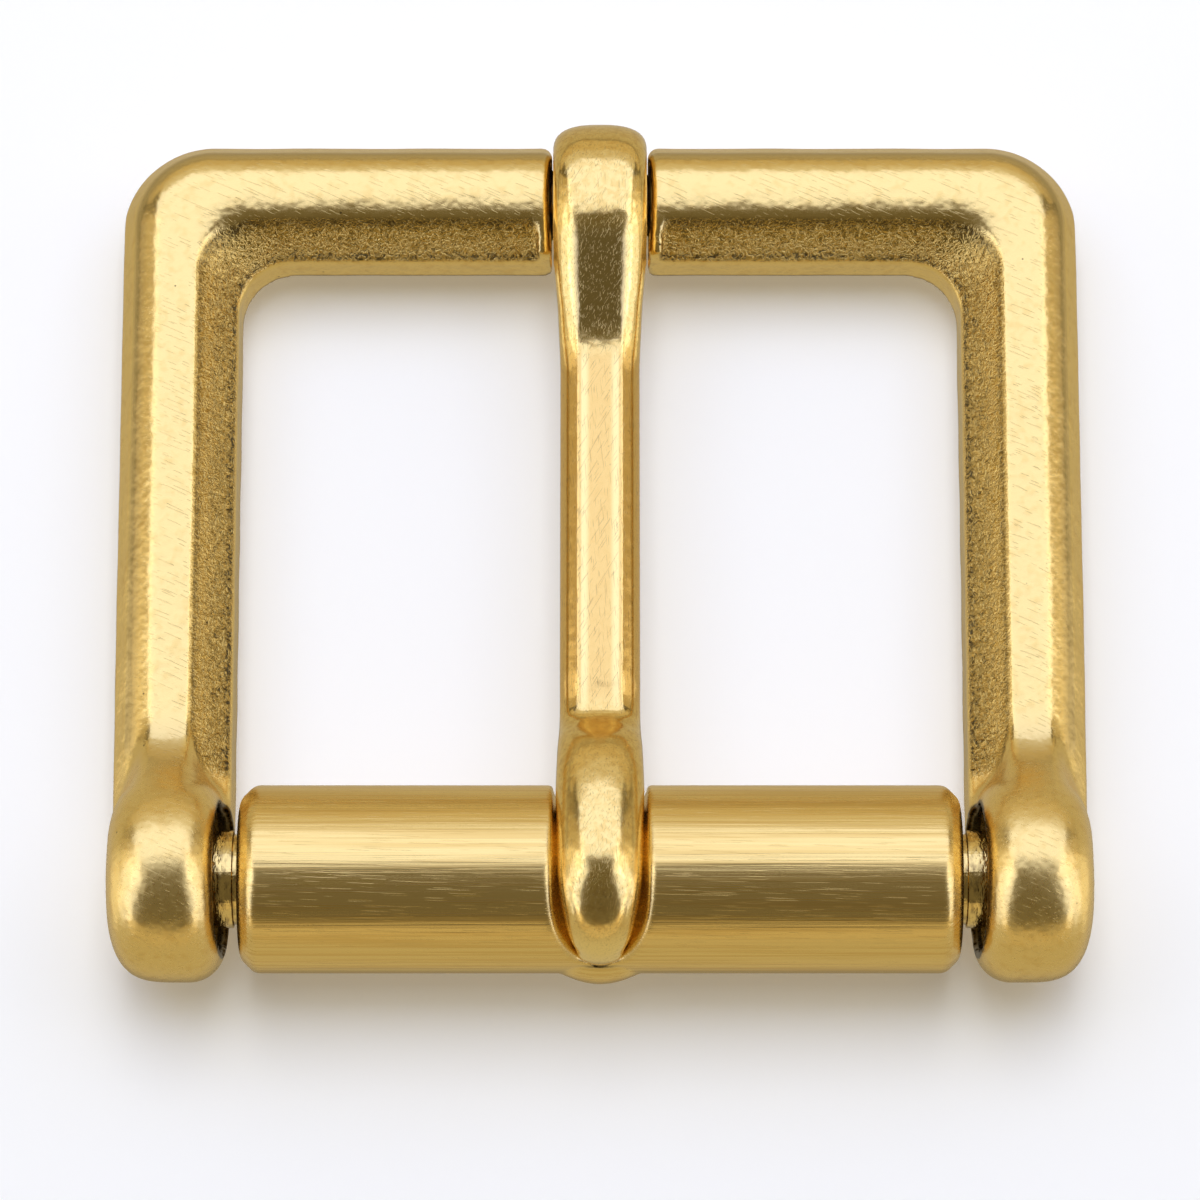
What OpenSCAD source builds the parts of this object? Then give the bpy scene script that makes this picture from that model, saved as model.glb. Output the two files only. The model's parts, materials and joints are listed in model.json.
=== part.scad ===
// Cast brass roller buckle for a 40 mm belt, lying on its back.
// The roller lies along X at the front, the tongue bar along X at the back, and the face looks up.
// The lugs and the tongue's loop rest on z = 0, and x = 0 is the middle of the buckle.

/* [Belt window] */
// Width of the window between the side bars
window_w = 40.8; // [34:0.1:52]
// Distance from the roller's axis to the tongue bar's axis
reach = 39.7; // [34:0.1:50]

/* [Frame bars] */
// Width of each side bar
side_bar_w = 6.85; // [6.5:0.05:8.5]
// Width of the tongue bar
tongue_bar_w = 7.3; // [6.9:0.05:8.5]
// Thickness of the bars from back to face
bar_t = 4.2; // [3.8:0.05:5]
// Radius of the frame's outer corners, seen from above
outer_corner_r = 5.75; // [5.2:0.05:7.5]
// Radius of the window's corners at the back of the frame
window_corner_r = 3; // [1.5:0.05:4.5]
// Width of the sloping border round the window
border_w = 2.08; // [1:0.02:2.3]
// Depth of the sloping border
border_d = 2; // [1:0.05:2.4]
// Draft of the window's wall below the border
window_draft = 0.19; // [0.05:0.01:0.4]
// Width of the steep strip round the outside
strip_w = 0.87; // [0.4:0.01:1.1]
// Width of the rounded shoulder from the strip to the face
shoulder_w = 2.13; // [1.5:0.01:2.4]

/* [Lugs] */
// Radius of the lugs about the pin
lug_r = 5.7; // [5.5:0.05:7]
// Rounding of the lugs' inner rim
lug_rim_r = 2.2; // [1:0.05:2.4]
// Step from the window's wall out to the lugs' inner face
lug_step = 0.48; // [0.3:0.01:1]
// Draft angle of the lugs' inner face
lug_draft = 3.5; // [0:0.5:5]
// Diameter of the recess round the pin
recess_d = 8.1; // [6.5:0.1:9]
// Depth of the recess
recess_depth = 1.2; // [0.5:0.1:2]

/* [Pin and roller] */
// Diameter of the pin
pin_d = 5.4; // [4:0.1:6]
// Depth of the turned groove beside each end of the roller
pin_groove_depth = 0.2; // [0.1:0.05:0.4]
// Width of that groove where it shows
pin_groove_w = 0.36; // [0.2:0.02:0.5]
// Diameter of the roller
roller_d = 10.4; // [9.6:0.1:11.2]
// Free play between the window's wall and each end of the roller
roller_end_play = 0.5; // [0.2:0.05:1]
// Radial play of the roller on the pin
roller_fit = 0.08; // [0.03:0.01:0.1]
// Length of the roller's end chamfers along its axis
roller_chamfer = 0.82; // [0.4:0.02:1.2]
// Depth of the groove that the tongue lies in
seat_depth = 1.4; // [1:0.05:1.7]
// How far the lip under the tongue's tip stands out of the roller
lip_h = 0.55; // [0.3:0.05:0.8]
// Width of the lip where it leaves the roller
lip_w = 4.3; // [3:0.1:5]

/* [Tongue] */
// Outer radius of the tongue's loop
loop_r = 4.6; // [4.4:0.05:5.5]
// Width of the loop
loop_w = 5.2; // [4.6:0.05:6]
// Diameter of the neck that the loop turns on
neck_d = 4.3; // [3.4:0.05:4.8]
// Radial play of the loop on the neck
loop_fit = 0.1; // [0.03:0.01:0.1]
// Gap between the loop and each bar end
loop_gap = 0.15; // [0.1:0.01:0.4]
// Width of the shaft
shaft_w = 4.46; // [3.8:0.02:4.7]
// Thickness of the shaft
shaft_t = 2.9; // [2.2:0.05:3.2]
// Height of the shaft's face above the roller's axis
shaft_rise = 1.9; // [1.2:0.05:2.4]
// Width of the tongue where it crosses the roller
tip_w = 4.84; // [4.2:0.02:5.1]
// Thickness of the tongue over the roller
tip_t = 2.42; // [2:0.02:3]
// Gap between the tongue and the groove's floor
seat_gap = 0.15; // [0.1:0.01:0.3]
// Gap between the tongue and each wall of the groove
seat_side_gap = 0.36; // [0.2:0.01:0.6]

/* [Hidden] */
$fn = 96;
eps = 0.01;
over = 1;

// Heights and places. The buckle rests on its lugs and on the loop.
roller_z = lug_r;
neck_z = loop_r;
front_y = -lug_r;
back_y = reach + loop_r;
roller_y = -(front_y + back_y) / 2;
neck_y = roller_y + reach;
back_z = neck_z - bar_t / 2;
face_z = neck_z + bar_t / 2;

// The frame's outline and the edges of its window
half_w = window_w / 2 + side_bar_w;
outline_y = neck_y + tongue_bar_w / 2;
window_y = neck_y - tongue_bar_w / 2;
bar_end_x = loop_w / 2 + loop_gap;
end_corner_r = 0.65;
border_end_x = bar_end_x + 0.8;
crown_drop = 0.1;
strip_low = 0.38 * bar_t;
strip_top = 0.76 * bar_t;
edge_inset = side_bar_w - border_w - window_draft;

// The lugs
lug_face_x = window_w / 2 + lug_step;
lug_crown_x = half_w - 3.7;
lug_power = 2.5;
pin_half = half_w - 0.3;
pin_press = 0.02;
lug_root_y = roller_y + 1.2 * lug_r;

// The roller and its groove
roller_half = window_w / 2 - roller_end_play;
roller_bore_d = pin_d + 2 * roller_fit;
groove_floor_r = roller_d / 2 - seat_depth;
groove_half_w = tip_w / 2 + seat_side_gap;
groove_round = 1.3;
tip_end_angle = 136;
lip_angle = 195;
lip_end_angle = 250;
lip_sphere_r = (pow(lip_w / 2, 2) + lip_h * lip_h) / (2 * lip_h);

// The tongue's face and underside
under_r = groove_floor_r + seat_gap;
shaft_top = roller_z + shaft_rise;
bore_r = neck_d / 2 + loop_fit;

function arc_points(cx, cy, r, from, to, n) =
    [for (i = [0 : n]) let (a = from + (to - from) * i / n) [cx + r * cos(a), cy + r * sin(a)]];

// A point about the roller's axis: 0 looks to the back, 90 up and 180 to the front.
function about_roller(a, r) = [roller_y + r * cos(a), roller_z + r * sin(a)];

// Half of the bar's section as [inset from the outline, height above the back]
function shoulder_points() =
    let (rise = bar_t - strip_top,
         r = (shoulder_w * shoulder_w + rise * rise) / (2 * rise),
         sweep = asin(shoulder_w / r))
    arc_points(strip_w + shoulder_w, bar_t - r, r, 90 + sweep, 90, 8);

function bar_section(width) = concat(
    [[0.35, 0], [0.08, 0.25], [0, strip_low]],
    shoulder_points(),
    [[edge_inset - eps, bar_t - crown_drop], [width, bar_t - crown_drop], [width, 0]]);

// Half of the outer body: a side bar, its corner and half of the tongue bar
module outer_body() {
    fill = 9;
    translate([-half_w, lug_root_y, back_z])
        rotate([90, 0, 0])
            mirror([0, 0, 1])
                linear_extrude(outline_y - outer_corner_r - lug_root_y)
                    polygon(bar_section(fill));
    translate([-bar_end_x, outline_y, back_z])
        rotate([90, 0, -90])
            linear_extrude(half_w - outer_corner_r - bar_end_x)
                polygon(bar_section(fill));
    translate([-half_w + outer_corner_r, outline_y - outer_corner_r, back_z])
        rotate([0, 0, 90])
            rotate_extrude(angle = 90)
                polygon([for (p = bar_section(outer_corner_r - eps)) [outer_corner_r - p[0], p[1]]]);
    translate([-half_w + edge_inset, roller_y + recess_d / 4, back_z])
        cube([side_bar_w - edge_inset + over, lug_root_y - roller_y, bar_t - crown_drop]);
}

// The outline of half the window, its edge set back from the window's wall, open towards the roller
module window_shape(set_back, end_x) {
    far_x = window_w / 2 + set_back;
    far_y = window_y + set_back;
    near_y = roller_y - lug_r;
    corner = arc_points(-far_x + window_corner_r, far_y - window_corner_r, window_corner_r, 180, 90, 10);
    polygon(concat(corner, [[-end_x, far_y], [-end_x, near_y], [-far_x, near_y]]));
}

module window_slab(set_back, z, t, end_x = -over) {
    translate([0, 0, z]) linear_extrude(t) window_shape(set_back, end_x);
}

// The sloping border on one side of the window. It stops short of the bar's end.
module border_cut() {
    hull() {
        window_slab(border_w + window_draft, face_z, eps, border_end_x);
        window_slab(window_draft, face_z - border_d, eps, border_end_x);
    }
}

// The window, its wall drafted below the border
module window_cut() {
    hull() {
        window_slab(window_draft, face_z - border_d, eps);
        window_slab(0, back_z, eps);
    }
    window_slab(0, back_z - over, over + eps);
    window_slab(window_draft, face_z - border_d, border_d + over);
}

// Rounds one corner of a bar's end, seen from above
module end_corner(y, side) {
    translate([-bar_end_x, y, back_z - over])
        mirror([0, side, 0])
            linear_extrude(bar_t + 2 * over)
                difference() {
                    translate([-end_corner_r, -end_corner_r]) square(end_corner_r + over);
                    translate([-end_corner_r, -end_corner_r]) circle(end_corner_r);
                }
}

// The lug is turned about the pin's axis. Its outer end is a superellipse.
module lug_body() {
    outer = half_w - lug_crown_x;
    steps = 12;
    outer_points = [for (i = [0 : steps])
        let (a = 90 * i / steps)
        [lug_r * pow(cos(a), 2 / lug_power), lug_crown_x + outer * pow(sin(a), 2 / lug_power)]];
    inner_points = arc_points(lug_r - lug_rim_r, lug_face_x + lug_rim_r, lug_rim_r, -90, 0, 8);
    translate([0, roller_y, roller_z])
        rotate([0, -90, 0])
            rotate_extrude()
                polygon(concat([[0, lug_face_x]], inner_points, outer_points));
}

// The root that runs from the side bar's section into the lug
module lug_root() {
    wide_r = 0.6 * lug_r;
    wide_x = half_w - 0.5;
    hull() {
        translate([-half_w, lug_root_y, back_z])
            rotate([90, 0, 0]) linear_extrude(eps) polygon(bar_section(edge_inset));
        translate([-lug_crown_x, roller_y, roller_z])
            rotate([0, -90, 0]) cylinder(r = lug_r - 0.05, h = 1, center = true, $fn = 32);
        translate([-wide_x, roller_y, roller_z])
            rotate([0, 90, 0]) cylinder(r = wide_r, h = wide_x - lug_crown_x, $fn = 32);
    }
}

// What is taken off the inner side of a lug: its drafted face, the recess and the pin's bore
module lug_cuts() {
    translate([-lug_face_x, roller_y, roller_z]) {
        rotate([0, -lug_draft, 0])
            translate([0, -lug_r - over, -2 * lug_r])
                cube([4, lug_r + over, 4 * lug_r]);
        rotate([0, -90, 0])
            translate([0, 0, -over]) cylinder(d = recess_d, h = over + recess_depth);
        rotate([0, -90, 0]) cylinder(d = pin_d + 2 * pin_press, h = side_bar_w + over);
    }
}

module half_frame() {
    difference() {
        union() {
            difference() {
                outer_body();
                border_cut();
                window_cut();
                end_corner(outline_y, 0);
                end_corner(window_y, 1);
            }
            lug_body();
            lug_root();
        }
        lug_cuts();
    }
}

// The cast frame: side bars, tongue bar with its turned neck, and the two lugs
module frame() {
    color([0.83, 0.66, 0.33]) {
        half_frame();
        mirror([1, 0, 0]) half_frame();
        translate([-bar_end_x - over, neck_y, neck_z])
            rotate([0, 90, 0]) cylinder(d = neck_d, h = 2 * (bar_end_x + over));
    }
}

// The pin is fixed in the lugs, with a shallow groove beside each end of the roller.
module roller_pin() {
    r = pin_d / 2;
    low = r - pin_groove_depth;
    color([0.78, 0.6, 0.3])
        translate([0, roller_y, roller_z])
            rotate([0, 90, 0])
                rotate_extrude()
                    polygon([
                        [0, -pin_half], [r, -pin_half],
                        [r, -roller_half - pin_groove_w], [low, -roller_half - pin_groove_w],
                        [low, -roller_half + pin_groove_w], [r, -roller_half + pin_groove_w],
                        [r, roller_half - pin_groove_w], [low, roller_half - pin_groove_w],
                        [low, roller_half + pin_groove_w], [r, roller_half + pin_groove_w],
                        [r, pin_half], [0, pin_half]]);
}

// One end of the groove: a round pocket that looks straight out of the roller
module groove_end(angle) {
    rotate([angle, 0, 0])
        translate([0, groove_floor_r, 0])
            rotate([-90, 0, 0]) cylinder(r = groove_half_w, h = roller_d);
}

// The groove runs round the roller from the tongue's tip over the back to the underside.
module groove() {
    out_r = roller_d / 2 + over;
    rotate([0, 90, 0])
        rotate([0, 0, 90 + tip_end_angle])
            rotate_extrude(angle = lip_end_angle - 360 - tip_end_angle)
                polygon(concat(
                    arc_points(groove_floor_r + groove_round, -groove_half_w + groove_round,
                               groove_round, 270, 180, 5),
                    arc_points(groove_floor_r + groove_round, groove_half_w - groove_round,
                               groove_round, 180, 90, 5),
                    [[out_r, groove_half_w], [out_r, -groove_half_w]]));
}

// The roller: a tube with chamfered ends, a groove for the tongue and a lip under the tongue's tip
module roller() {
    r = roller_d / 2;
    chamfer_r = r - roller_chamfer;
    color([0.85, 0.69, 0.36])
        translate([0, roller_y, roller_z])
            difference() {
                union() {
                    rotate([0, 90, 0])
                        rotate_extrude()
                            polygon([
                                [0, -roller_half], [chamfer_r, -roller_half],
                                [r, -roller_half + roller_chamfer], [r, roller_half - roller_chamfer],
                                [chamfer_r, roller_half], [0, roller_half]]);
                    rotate([lip_angle, 0, 0])
                        translate([0, r + lip_h - lip_sphere_r, 0]) sphere(lip_sphere_r);
                }
                groove();
                groove_end(tip_end_angle);
                groove_end(lip_end_angle);
                translate([-roller_half - over, 0, 0])
                    rotate([0, 90, 0]) cylinder(d = roller_bore_d, h = 2 * (roller_half + over));
            }
}

// The tongue's key sections, from the loop to the tip. Columns: face [y, z], underside [y, z],
// half width, roundness from 0, the shaft's faceted section, to 1, a rounded one.
function loop_station(across, up, under, wide, round) =
    [neck_y - across * loop_r, shaft_top + up * (neck_z + loop_r - shaft_top),
     neck_y - across * loop_r, shaft_top - shaft_t + under * shaft_t, wide * loop_w / 2, round];

function shaft_station(y, wide, round) =
    [y, shaft_top, y, shaft_top - shaft_t, wide * shaft_w / 2, round];

function hump_station(face_a, face_r, under_a, lift, wide, round) =
    let (p = about_roller(face_a, under_r + face_r * tip_t), q = about_roller(under_a, under_r + lift * tip_t))
    [p[0], p[1], q[0], q[1], wide * tip_w / 2, round];

foot_y = roller_y + under_r + 2.05 * tip_t;

function key_stations() = [
    // across, up, under, width, roundness
    loop_station(-0.10, 0.90, 0.62, 0.90, 1.0),
    loop_station(0.15, 0.97, 0.50, 0.96, 1.0),
    loop_station(0.50, 0.76, 0.36, 1.00, 0.9),
    loop_station(0.95, 0.49, 0.18, 0.99, 0.7),
    loop_station(1.40, 0.24, 0.06, 0.96, 0.5),
    loop_station(1.80, 0.06, 0.01, 0.89, 0.2),
    shaft_station(neck_y - 2.15 * loop_r, 1.00, 0),
    shaft_station((neck_y + foot_y) / 2, 1.00, 0),
    shaft_station(foot_y + 0.5 * tip_t, 1.00, 0),
    shaft_station(foot_y, 1.00, 0.1),
    // face angle, face radius, underside angle, lift, width, roundness
    hump_station(15.5, 1.82, -1.0, 0.92, 1.00, 0.3),
    hump_station(24.0, 1.53, 14.0, 0.42, 1.00, 0.5),
    hump_station(35.0, 1.27, 30.0, 0.11, 1.00, 0.8),
    hump_station(50.0, 1.10, 49.0, 0.00, 1.00, 1.0),
    hump_station(72.0, 1.00, 72.0, 0.00, 1.00, 1.0),
    hump_station(95.0, 1.00, 92.0, 0.00, 0.99, 1.0),
    hump_station(115.0, 1.06, 110.0, 0.00, 0.96, 1.0),
    hump_station(130.0, 1.06, 124.0, 0.00, 0.90, 1.0),
    hump_station(143.0, 0.93, 136.0, 0.00, 0.79, 1.0),
    hump_station(152.5, 0.77, 146.0, 0.02, 0.64, 1.0),
    hump_station(160.0, 0.62, 154.0, 0.08, 0.43, 1.0),
    hump_station(163.5, 0.46, 161.0, 0.20, 0.16, 1.0)];

// A smooth curve through four values, at share t between the middle two
function blend4(a, b, c, d, t) =
    0.5 * (2 * b + (c - a) * t + (2 * a - 5 * b + 4 * c - d) * t * t + (3 * b - 3 * c + d - a) * t * t * t);

function smooth_stations(k, n) =
    let (last = len(k) - 1)
    [for (i = [0 : last * n])
        let (j = min(floor(i / n), last - 1), t = i / n - j)
        blend4(k[max(j - 1, 0)], k[j], k[j + 1], k[min(j + 2, last)], t)];

// Half of the shaft's section from the face to the underside: share across, share up
shaft_section = [[0, 1], [0.45, 1], [0.66, 0.8], [0.84, 0.5], [0.95, 0.15], [1, -0.15],
                 [0.97, -0.5], [0.86, -0.82], [0.6, -0.98], [0, -1]];

function round_section(i, n) =
    let (a = 180 * i / n)
    [pow(sin(a), 0.86), sign(cos(a)) * pow(abs(cos(a)), 0.86)];

function half_section(k) =
    [for (i = [0 : 9]) (1 - k) * shaft_section[i] + k * round_section(i, 9)];

function ring(s) =
    let (h = half_section(s[5]),
         mid = [(s[0] + s[2]) / 2, (s[1] + s[3]) / 2],
         up = [(s[0] - s[2]) / 2, (s[1] - s[3]) / 2],
         both = concat([for (p = h) p], [for (i = [8 : -1 : 1]) [-h[i][0], h[i][1]]]))
    [for (p = both) [p[0] * s[4], mid[0] + p[1] * up[0], mid[1] + p[1] * up[1]]];

module tongue_shaft() {
    s = smooth_stations(key_stations(), 3);
    m = 18;
    n = len(s);
    points = [for (t = s) each ring(t)];
    sides = [for (i = [0 : n - 2], j = [0 : m - 1])
        [i * m + (j + 1) % m, (i + 1) * m + (j + 1) % m, (i + 1) * m + j, i * m + j]];
    start = [for (j = [m - 1 : -1 : 0]) j];
    end = [for (j = [0 : m - 1]) (n - 1) * m + j];
    polyhedron(concat(points), concat(sides, [start, end]), convexity = 6);
}

// The loop's ring is turned about the neck's axis, with rounded rims.
module tongue_loop() {
    rim = 1.15;
    translate([0, neck_y, neck_z])
        rotate([0, 90, 0])
            rotate_extrude()
                polygon(concat(
                    [[0, -loop_w / 2]],
                    arc_points(loop_r - rim, -loop_w / 2 + rim, rim, -90, 0, 6),
                    arc_points(loop_r - rim, loop_w / 2 - rim, rim, 0, 90, 6),
                    [[0, loop_w / 2]]));
}

// The tongue: the loop closed round the neck, the shaft and the humped tip
module tongue() {
    seam_w = 0.25;
    seam_depth = 0.4;
    seam_angle = 235;
    color([0.86, 0.7, 0.37])
        difference() {
            union() {
                tongue_loop();
                tongue_shaft();
            }
            translate([-loop_w, neck_y, neck_z])
                rotate([0, 90, 0]) cylinder(r = bore_r, h = 2 * loop_w);
            translate([0, neck_y, neck_z])
                rotate([seam_angle, 0, 0])
                    translate([-loop_w, loop_r - seam_depth, -seam_w / 2]) cube([2 * loop_w, over, seam_w]);
        }
}

frame();
roller_pin();
roller();
tongue();
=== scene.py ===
# %% [markdown]
# # A brass roller buckle
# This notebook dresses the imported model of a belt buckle. The real one is cast and turned brass:
# a three-sided frame with two lugs, a pin fixed in the lugs, a roller that turns on the pin,
# and a tongue whose loop turns on a thin neck in the far bar.
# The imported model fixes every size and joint, so we start by loading it and read our sizes from it.

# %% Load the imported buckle
import json
import math

import bmesh
import bpy
import numpy as np
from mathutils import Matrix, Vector


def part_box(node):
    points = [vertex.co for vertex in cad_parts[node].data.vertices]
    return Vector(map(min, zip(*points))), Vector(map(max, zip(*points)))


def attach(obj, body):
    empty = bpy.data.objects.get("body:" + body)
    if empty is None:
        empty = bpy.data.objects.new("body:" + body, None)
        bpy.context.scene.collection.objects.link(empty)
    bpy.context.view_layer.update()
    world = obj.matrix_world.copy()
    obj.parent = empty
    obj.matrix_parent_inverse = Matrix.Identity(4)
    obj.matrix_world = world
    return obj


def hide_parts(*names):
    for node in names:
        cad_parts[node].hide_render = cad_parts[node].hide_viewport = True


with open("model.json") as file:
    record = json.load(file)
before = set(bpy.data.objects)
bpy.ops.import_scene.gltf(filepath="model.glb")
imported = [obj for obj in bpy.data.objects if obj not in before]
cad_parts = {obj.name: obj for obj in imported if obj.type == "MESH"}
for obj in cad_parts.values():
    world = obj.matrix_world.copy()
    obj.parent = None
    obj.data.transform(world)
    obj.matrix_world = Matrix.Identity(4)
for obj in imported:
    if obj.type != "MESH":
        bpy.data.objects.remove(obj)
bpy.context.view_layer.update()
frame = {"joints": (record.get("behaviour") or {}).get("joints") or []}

# %% [markdown]
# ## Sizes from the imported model
# A maker works in millimetres from a few datum lines. Ours are the two axes that things turn on:
# the roller's, near the lugs, and the neck's, in the tongue bar. The joints give both, and the boxes
# of the nodes give the outside sizes. We think in millimetres and divide by 1000 when a mesh is made.

# %% Datum lines and outside sizes, in millimetres
def axis_of(joint_name):
    """The y and z of a joint's axis. Both axes run along x."""
    for joint in frame["joints"]:
        if joint["name"] == joint_name:
            return joint["pos_m"][1] * 1000, joint["pos_m"][2] * 1000


def box_mm(node):
    """The lowest and highest corners of a node."""
    low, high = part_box(node)
    return [c * 1000 for c in low], [c * 1000 for c in high]


roller_y, roller_z = axis_of("roller_spin")
neck_y, neck_z = axis_of("tongue_hinge")
frame_low, frame_high = box_mm("frame")
pin_low, pin_high = box_mm("roller_pin")
roller_high = box_mm("roller")[1]
half_w = frame_high[0]
outline_y = frame_high[1]
lug_r = roller_z
pin_r = (pin_high[2] - pin_low[2]) / 2
roller_half = roller_high[0]
roller_r = roller_high[2] - roller_z
print(f"frame {2 * half_w:.2f} wide, roller radius {roller_r:.2f}, pin radius {pin_r:.2f}")

# %% [markdown]
# ## Solids as distance functions
# Cast metal has few true edges: the file, the tumbler and years in a pocket round all of them, and the
# lugs flow into the bars. Lofts and booleans give hard seams there. We could bevel every edge, but a
# bevel breaks where a lug meets a bar. So the frame and the roller are written as signed distances:
# a function that is negative inside the metal, zero on its skin and positive outside. Two such functions
# join with a minimum and meet with a maximum, and a softened minimum or maximum is a fillet.

# %% Softened maximum and minimum
def soft_max(a, b, k):
    """The larger of a and b, with the corner between them rounded over a width of about k."""
    h = np.clip(0.5 + 0.5 * (a - b) / k, 0, 1)
    return b + (a - b) * h + k * h * (1 - h)


def soft_min(a, b, k):
    """The smaller of a and b, with a fillet between them about k wide."""
    return -soft_max(-a, -b, k)


def round_max(a, b, r):
    """Where two faces cross at a right angle, this rounds their edge to the radius r."""
    return np.hypot(np.maximum(a + r, 0), np.maximum(b + r, 0)) + np.minimum(np.maximum(a, b), -r)


def smooth_step(x, start, end):
    """Goes smoothly from 0 to 1 as x goes from start to end."""
    t = np.clip((x - start) / (end - start), 0, 1)
    return t * t * (3 - 2 * t)


def corner_distance(x, y, far_x, far_y, r):
    """Distance to a plan outline that ends at far_x and far_y, with one round corner."""
    qx = x - (far_x - r)
    qy = y - (far_y - r)
    return np.hypot(np.maximum(qx, 0), np.maximum(qy, 0)) + np.minimum(np.maximum(qx, qy), 0) - r


# %% [markdown]
# ## The bar's section
# Look along a bar: from the flat back the side rises almost straight to the parting line, leans in as a
# steep strip, turns over a round shoulder to the face, and falls away again in a sloping border that was
# left rough as cast. Seen from above, the inset from the outline is all that this section needs.

# %% The outer side of the bars
back_z = neck_z - 2.1
bar_t = 4.2
outer_corner_r = 5.3
parting_z = 1.6
strip_w = 0.87
strip_top = 3.2
crown_inset = 3.3
shoulder_power = 2.6
face_r = 7.0
face_corner_r = 4.0
outer_spread = 0.11
back_lean = 0.08
back_bevel = 0.25
strip_fillet = 0.1
parting_fillet = 0.2
back_edge_r = 0.35


def plane_through(u, v, a, b):
    """Distance to the straight face from point a up to point b, positive on its left."""
    length = math.hypot(b[0] - a[0], b[1] - a[1])
    return ((v - a[1]) * (b[0] - a[0]) - (u - a[0]) * (b[1] - a[1])) / length


def bar_skin(x, y, z):
    """The bar's outer side, shoulder, face and back."""
    spread = outer_spread * smooth_step(y, roller_y + 6, roller_y + 18)
    inset = -corner_distance(x - spread, y, half_w, outline_y, outer_corner_r)
    up = z - back_z
    out = np.maximum(crown_inset - inset, 0) / (crown_inset - strip_w)
    past_crown = corner_distance(x, y, half_w - crown_inset, outline_y - crown_inset, face_corner_r)
    within = np.maximum(-past_crown, 0)
    drop = (bar_t - strip_top) * out ** shoulder_power + within ** 2 / (2 * face_r)
    lean = ((bar_t - strip_top) * shoulder_power / (crown_inset - strip_w) * out ** (shoulder_power - 1)
            + within / face_r)
    top = (up - bar_t + drop) / np.hypot(1, lean)
    strip = plane_through(inset, up, (0, parting_z), (strip_w, strip_top))
    side = plane_through(inset, up, (back_lean, back_bevel), (0, parting_z))
    skin = soft_max(soft_max(top, strip, strip_fillet), side, parting_fillet)
    return round_max(skin, -up, back_edge_r)


# %% The window and its sloping border
window_half = 20.4
window_y = neck_y - 3.65
window_r = 3.05
wall_draft = 0.19
border_w = 2.42
border_low = 2.2
border_d = 2.0
border_end_x = 3.54
border_end_r = 0.35
bar_end_x = 2.75


def window_gap(x, y, z):
    """Negative in the window's drafted opening."""
    set_back = wall_draft * (z - back_z) / border_low
    return corner_distance(x, y, window_half + set_back, window_y + set_back, window_r)


def border_gap(x, y, z):
    """Negative in the wedge that the border takes off. It stops short of the bar's end."""
    slope = border_w / border_d
    set_back = wall_draft + (z - back_z - border_low) * slope
    wedge = corner_distance(x, y, window_half + set_back, window_y + set_back, window_r)
    return round_max(wedge / math.hypot(1, slope), border_end_x - x, border_end_r)


# %% [markdown]
# ## The lugs and the neck
# Each lug is a turned knob that holds one end of the pin, with a shallow recess round the pin. The bar flows
# into it with a fillet that is wide along the bar's middle and tight at its sides. Halfway along the tongue
# bar the casting is turned down to a thin neck for the tongue's loop. Left and right halves are alike, so the
# whole field is written for positive x and mirrored.

# %% The lugs and the whole frame
lug_crown_x = 23.5
lug_power = 3.2
lug_face_x = 20.88
lug_lean = math.tan(math.radians(3.5))
lug_rim_r = 1.9
recess_r = 4.05
recess_x = 22.08
bar_stop = 2.4
neck_r = 2.15
neck_relief = 0.6
bar_end_r = 0.6
bar_stop_fillet = 1.2
root_middle_x = 24.1
root_fillet = 0.5
root_flow = 3.4
outline_fillet = 0.15
window_fillet = 0.25
floor_fillet = 0.1
pin_play = 0.03
recess_edge_r = 0.14
neck_fillet = 0.2
wave_h = 0.012


def lug_skin(x, y, z, r):
    """The lug is turned: a crowned outer end, and a flat inner face with a round rim."""
    across = np.maximum(x - lug_crown_x, 0) / (half_w - lug_crown_x)
    outer = ((across ** lug_power + (r / lug_r) ** lug_power) ** (1 / lug_power) - 1) * lug_r
    face = lug_face_x + (z - roller_z) * lug_lean - x
    return round_max(outer, face, lug_rim_r)


def frame_field(x, y, z):
    """The whole casting: bars, lugs, window, recesses and bores, and the neck."""
    x = np.abs(x)
    r = np.hypot(y - roller_y, z - roller_z)
    bar = soft_max(bar_skin(x, y, z), -border_gap(x, y, z), strip_fillet)
    bar = round_max(bar, bar_end_x - x, bar_end_r)
    bar = soft_max(bar, roller_y + bar_stop - y, bar_stop_fillet)
    lug = lug_skin(x, y, z, r)
    middle = 1 - smooth_step(np.abs(x - root_middle_x), 0.9, 2.6)
    body = soft_min(bar, lug, root_fillet + root_flow * middle)
    body = soft_max(body, x - half_w, outline_fillet)
    body = soft_max(soft_max(body, -window_gap(x, y, z), window_fillet), -z, floor_fillet)
    recess = np.maximum(r - recess_r, x - recess_x)
    bore = r - pin_r - pin_play
    body = round_max(body, -np.minimum(recess, bore), recess_edge_r)
    thin = neck_relief * smooth_step(x, bar_end_x - 0.4, bar_end_x)
    neck = np.maximum(np.hypot(y - neck_y, z - neck_z) - neck_r + thin, x - bar_end_x - 0.6)
    return soft_min(body, neck, neck_fillet) + hand_waves(x, y, z)


def hand_waves(x, y, z):
    """The slow unevenness that casting and hand finishing leave, a few hundredths of a millimetre."""
    return wave_h * (np.sin(0.9 * x + 0.5 * y) * np.sin(0.8 * y - 0.6 * z + 1.1)
                    + 0.6 * np.sin(1.7 * x - 0.4 * z + 2.0) * np.sin(1.3 * y + 0.7))


# %% [markdown]
# ## From a distance function to a mesh
# Blender can't render a function, so we sample it on a grid of small cells. Each cell that the skin passes
# through gets one vertex, and each grid edge that the skin crosses gets a face between the four cells
# round it. This is the surface nets method. Then the vertices relax a little and slide along the slope of
# the function until they lie on the skin itself, which makes the highlights clean.

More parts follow.
